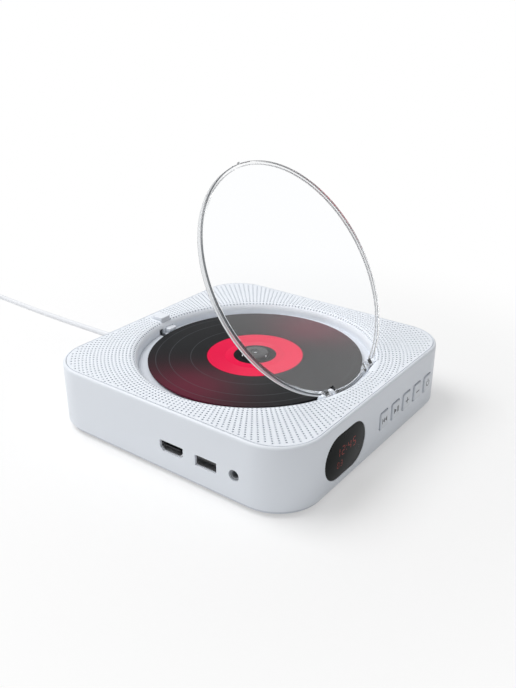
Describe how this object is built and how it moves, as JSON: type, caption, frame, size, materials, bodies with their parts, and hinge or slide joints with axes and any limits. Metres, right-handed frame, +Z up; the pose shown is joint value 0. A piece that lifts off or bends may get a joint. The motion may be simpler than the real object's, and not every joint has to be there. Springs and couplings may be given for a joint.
{
  "type": "wall mounted disc player",
  "caption": "Flat square disc player with rounded corners, perforated deck, round clear lid that springs open over the disc well, side keys and display, keyhole slots behind.",
  "frame": {"origin": "centre of the square footprint, on the surface that the four feet stand on", "axes": "+Z up through the deck and the disc spindle, +X towards the side with display and keys and the lid hinge, -Y towards the side with the sockets, -X towards the power lead"},
  "size_m": [0.403, 0.164, 0.1419],
  "materials": {
    "white_plastic": "fine matt",
    "pale_plastic": "fine matt",
    "key_plastic": "satin",
    "rubber": "matt",
    "steel": "satin",
    "plated_steel": "satin",
    "clear_acrylic": "polished clear",
    "disc_print": "printed, glossy",
    "black_plastic": "matt",
    "lens": "polished",
    "gear_plastic": "satin",
    "circuit_board": "satin",
    "display_glass": "polished",
    "display_module": "matt",
    "cone_paper": "matt",
    "cord_jacket": "satin"
  },
  "bodies": {
    "housing": {"body_shell": "white_plastic", "deck_panel": "white_plastic", "disc_tray": "pale_plastic", "bottom_cover": "pale_plastic", "foot_1": "rubber", "foot_2": "rubber", "foot_3": "rubber", "foot_4": "rubber", "case_screws": "steel", "hinge_bracket_1": "white_plastic", "hinge_bracket_2": "white_plastic", "hinge_pin_1": "steel", "hinge_pin_2": "steel", "lid_springs": "steel", "release_spring": "steel", "lid_switch": "black_plastic", "spindle_motor": "plated_steel", "chassis": "plated_steel", "dampers": "rubber", "guide_rod_1": "steel", "guide_rod_2": "steel", "gear_axle": "steel", "sled_motor": "plated_steel", "main_board": "circuit_board", "board_chips": "black_plastic", "video_socket": "plated_steel", "data_socket": "plated_steel", "phone_socket": "black_plastic", "power_board": "circuit_board", "power_socket": "black_plastic", "display_window": "display_glass", "display_module": "display_module", "key_board": "circuit_board", "key_switches": "black_plastic", "speaker_1": "steel", "speaker_2": "steel", "speaker_cone_1": "cone_paper", "speaker_cone_2": "cone_paper", "power_plug": "cord_jacket", "power_cord": "cord_jacket", "cord_coil": "cord_jacket", "cord_tie": "black_plastic", "far_plug": "cord_jacket"},
    "lid": {"lid": "clear_acrylic"},
    "release": {"release_key": "white_plastic"},
    "catch": {"lid_catch": "white_plastic"},
    "turntable": {"disc": "disc_print", "turntable": "black_plastic", "spindle": "steel", "hub_balls": "steel"},
    "sled": {"pickup_sled": "black_plastic", "pickup_lens": "lens", "sled_rack": "gear_plastic"},
    "drive_gear": {"drive_gear": "gear_plastic"},
    "motor_pinion": {"motor_pinion": "gear_plastic"},
    "key_1": {"key_1": "key_plastic"},
    "key_2": {"key_2": "key_plastic"},
    "key_3": {"key_3": "key_plastic"},
    "key_4": {"key_4": "key_plastic"},
    "key_5": {"key_5": "key_plastic"}
  },
  "joints": [
    {"name": "lid_hinge", "type": "hinge", "parent": "housing", "child": "lid", "pos_m": [0.061, 0, 0.0356], "axis": [0, 1, 0], "range_deg": [-56.5, 0], "stiffness_Nm_per_rad": 0.02, "springref_deg": 91.67},
    {"name": "release_press", "type": "slide", "parent": "housing", "child": "release", "axis": [0, 0, -1], "range_m": [0, 0.0011], "stiffness_N_per_m": 400, "deforming": ["release_spring"]},
    {"name": "catch_slide", "type": "slide", "parent": "housing", "child": "catch", "axis": [-1, 0, 0], "range_m": [0, 0.00105]},
    {"name": "disc_spin", "type": "hinge", "parent": "housing", "child": "turntable", "pos_m": [0, 0, 0.03], "axis": [0, 0, 1], "continuous": true},
    {"name": "sled_slide", "type": "slide", "parent": "housing", "child": "sled", "axis": [0, 1, 0], "range_m": [0, 0.034]},
    {"name": "gear_spin", "type": "hinge", "parent": "housing", "child": "drive_gear", "pos_m": [0.03472, 0.036, 0.015], "axis": [0, 0, 1], "range_deg": [-420, 10]},
    {"name": "pinion_spin", "type": "hinge", "parent": "housing", "child": "motor_pinion", "pos_m": [0.0449, 0.02582, 0.015], "axis": [0, 0, 1], "range_deg": [-20, 1260]},
    {"name": "key_1_press", "type": "slide", "parent": "housing", "child": "key_1", "axis": [-1, 0, 0], "range_m": [0, 0.0005], "stiffness_N_per_m": 600},
    {"name": "key_2_press", "type": "slide", "parent": "housing", "child": "key_2", "axis": [-1, 0, 0], "range_m": [0, 0.0005], "stiffness_N_per_m": 600},
    {"name": "key_3_press", "type": "slide", "parent": "housing", "child": "key_3", "axis": [-1, 0, 0], "range_m": [0, 0.0005], "stiffness_N_per_m": 600},
    {"name": "key_4_press", "type": "slide", "parent": "housing", "child": "key_4", "axis": [-1, 0, 0], "range_m": [0, 0.0005], "stiffness_N_per_m": 600},
    {"name": "key_5_press", "type": "slide", "parent": "housing", "child": "key_5", "axis": [-1, 0, 0], "range_m": [0, 0.0005], "stiffness_N_per_m": 600}
  ],
  "couplings": [
    {"joint": "catch_slide", "follows": "release_press", "ratio": 0.9},
    {"joint": "gear_spin", "follows": "sled_slide", "rad_per_m": -208.33},
    {"joint": "pinion_spin", "follows": "sled_slide", "rad_per_m": 625}
  ]
}
